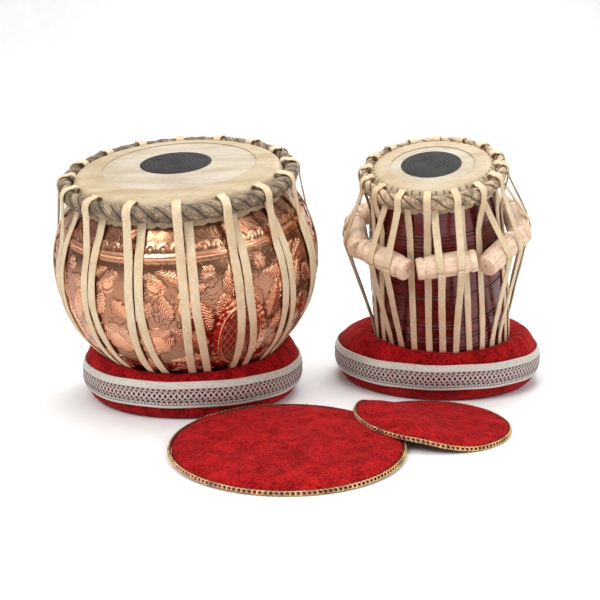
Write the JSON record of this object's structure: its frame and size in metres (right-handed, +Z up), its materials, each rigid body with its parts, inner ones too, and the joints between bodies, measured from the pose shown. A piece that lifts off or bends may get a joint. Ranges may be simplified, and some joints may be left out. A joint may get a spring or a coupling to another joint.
{
  "type": "tabla",
  "caption": "Pair of hand drums, a copper bass drum and a tapered wooden treble drum with tuning blocks, on ring cushions, with round velvet drumhead covers.",
  "frame": {"origin": "on the floor, under the middle of the box around the whole set", "axes": "+X from the bayan to the dayan, along the set's longest extent; +Y away from the player, towards the back; +Z up"},
  "size_m": [0.5863, 0.538, 0.3042],
  "materials": {
    "velvet": "crimson crushed velvet",
    "cotton_filling": "raw cotton stuffing",
    "silver_brocade": "woven silver braid with red and gold pattern",
    "copper": "polished embossed copper",
    "goat_skin": "pale stretched skin",
    "edge_skin": "pale thicker skin",
    "syahi_paste": "hard black paste, matt",
    "braided_hide": "twisted rawhide rope",
    "rawhide_strap": "cream rawhide",
    "lacquered_wood": "glossy oxblood lacquer",
    "pale_wood": "plain turned wood, satin",
    "lining_cloth": "plain red cotton",
    "gold_lace": "gold chain lace with purple stones"
  },
  "bodies": {
    "bayan_cushion": {"bayan_cushion_cover": "velvet", "bayan_cushion_filling": "cotton_filling", "bayan_cushion_band": "silver_brocade"},
    "bayan": {"bayan_shell": "copper", "bayan_main_skin": "goat_skin", "bayan_outer_skin": "edge_skin", "bayan_inner_skin": "goat_skin", "bayan_black_spot": "syahi_paste", "bayan_hoop_braid": "braided_hide", "bayan_straps": "rawhide_strap", "bayan_bottom_ring": "rawhide_strap"},
    "dayan_cushion": {"dayan_cushion_cover": "velvet", "dayan_cushion_filling": "cotton_filling", "dayan_cushion_band": "silver_brocade"},
    "dayan": {"dayan_shell": "lacquered_wood", "dayan_main_skin": "goat_skin", "dayan_outer_skin": "edge_skin", "dayan_inner_skin": "goat_skin", "dayan_black_spot": "syahi_paste", "dayan_hoop_braid": "braided_hide", "dayan_bottom_ring": "rawhide_strap", "dayan_straps_behind": "rawhide_strap"},
    "bayan_cover": {"bayan_cover_pad": "velvet", "bayan_cover_lining": "lining_cloth", "bayan_cover_lace": "gold_lace"},
    "dayan_cover": {"dayan_cover_pad": "velvet", "dayan_cover_lining": "lining_cloth", "dayan_cover_lace": "gold_lace"},
    "block_1": {"tuning_block_1": "pale_wood", "straps_over_block_1": "rawhide_strap"},
    "block_2": {"tuning_block_2": "pale_wood", "straps_over_block_2": "rawhide_strap"},
    "block_3": {"tuning_block_3": "pale_wood", "straps_over_block_3": "rawhide_strap"},
    "block_4": {"tuning_block_4": "pale_wood", "straps_over_block_4": "rawhide_strap"},
    "block_5": {"tuning_block_5": "pale_wood", "straps_over_block_5": "rawhide_strap"},
    "block_6": {"tuning_block_6": "pale_wood", "straps_over_block_6": "rawhide_strap"},
    "block_7": {"tuning_block_7": "pale_wood", "straps_over_block_7": "rawhide_strap"},
    "block_8": {"tuning_block_8": "pale_wood", "straps_over_block_8": "rawhide_strap"}
  },
  "joints": [
    {"name": "bayan_lift", "type": "slide", "parent": "bayan_cushion", "child": "bayan", "axis": [-0.0507, -0.2142, 0.9755], "range_m": [0, 0.3]},
    {"name": "dayan_cushion_spacing", "type": "slide", "parent": "bayan_cushion", "child": "dayan_cushion", "axis": [1, 0, 0], "range_m": [0, 0.1]},
    {"name": "dayan_lift", "type": "slide", "parent": "dayan_cushion", "child": "dayan", "axis": [-0.1109, -0.3341, 0.936], "range_m": [0, 0.3]},
    {"name": "bayan_cover_lift", "type": "slide", "parent": "bayan_cushion", "child": "bayan_cover", "axis": [0, -0.6, 0.8], "range_m": [0, 0.3]},
    {"name": "dayan_cover_lift", "type": "slide", "parent": "bayan_cover", "child": "dayan_cover", "axis": [0, -0.6, 0.8], "range_m": [0, 0.3]},
    {"name": "tuning_1", "type": "slide", "parent": "dayan", "child": "block_1", "axis": [0.1124, 0.2608, -0.9588], "range_m": [-0.02, 0.03], "deforming": ["straps_over_block_1"]},
    {"name": "tuning_2", "type": "slide", "parent": "dayan", "child": "block_2", "axis": [0.1658, 0.2812, -0.9452], "range_m": [-0.02, 0.03], "deforming": ["straps_over_block_2"]},
    {"name": "tuning_3", "type": "slide", "parent": "dayan", "child": "block_3", "axis": [0.1868, 0.332, -0.9246], "range_m": [-0.02, 0.03], "deforming": ["straps_over_block_3"]},
    {"name": "tuning_4", "type": "slide", "parent": "dayan", "child": "block_4", "axis": [0.1632, 0.3835, -0.909], "range_m": [-0.02, 0.03], "deforming": ["straps_over_block_4"]},
    {"name": "tuning_5", "type": "slide", "parent": "dayan", "child": "block_5", "axis": [0.1087, 0.4055, -0.9076], "range_m": [-0.02, 0.03], "deforming": ["straps_over_block_5"]},
    {"name": "tuning_6", "type": "slide", "parent": "dayan", "child": "block_6", "axis": [0.0553, 0.385, -0.9212], "range_m": [-0.02, 0.03], "deforming": ["straps_over_block_6"]},
    {"name": "tuning_7", "type": "slide", "parent": "dayan", "child": "block_7", "axis": [0.0343, 0.3342, -0.9419], "range_m": [-0.02, 0.03], "deforming": ["straps_over_block_7"]},
    {"name": "tuning_8", "type": "slide", "parent": "dayan", "child": "block_8", "axis": [0.058, 0.2827, -0.9574], "range_m": [-0.02, 0.03], "deforming": ["straps_over_block_8"]}
  ]
}
